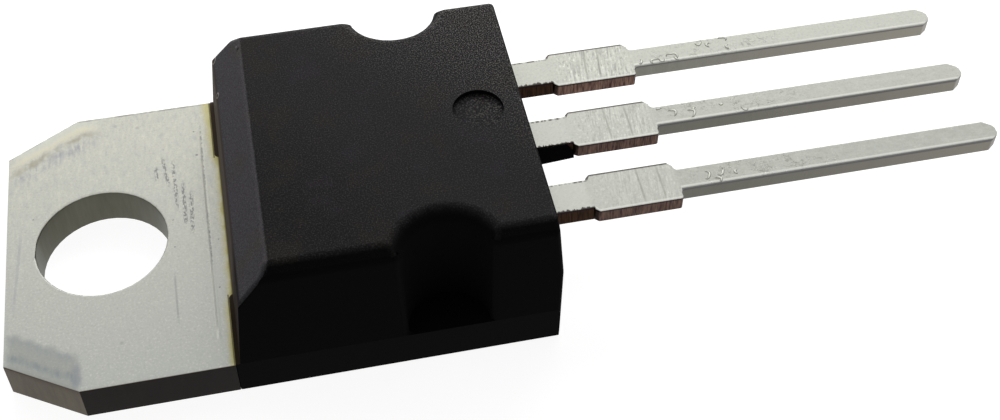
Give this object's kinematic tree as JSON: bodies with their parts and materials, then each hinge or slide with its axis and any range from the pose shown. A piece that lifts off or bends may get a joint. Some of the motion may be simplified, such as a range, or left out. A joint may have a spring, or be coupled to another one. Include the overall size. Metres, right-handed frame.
{
  "type": "power mosfet",
  "caption": "Power transistor in a TO-220 style package: black moulded body on a tinned copper tab with a mounting hole, and straight leads for a circuit board.",
  "frame": {"origin": "centre of the mounting hole on the back face of the tab", "axes": "+X along the leads towards their tips, +Y across the body, +Z out of the marked top face"},
  "size_m": [0.0294, 0.0102, 0.0046],
  "materials": {
    "epoxy_mould": "fine matt texture from the mould",
    "tinned_copper": "satin matt tin, with bare copper on the cut edges",
    "silicon": "polished",
    "solder": "satin",
    "aluminium_wire": "satin"
  },
  "bodies": {
    "root": {"mold_body": "epoxy_mould", "drain_tab": "tinned_copper", "gate_lead": "tinned_copper", "source_lead": "tinned_copper", "silicon_die": "silicon", "die_attach_solder": "solder", "gate_bond_wire": "aluminium_wire", "source_bond_wire_1": "aluminium_wire", "source_bond_wire_2": "aluminium_wire"}
  },
  "joints": []
}
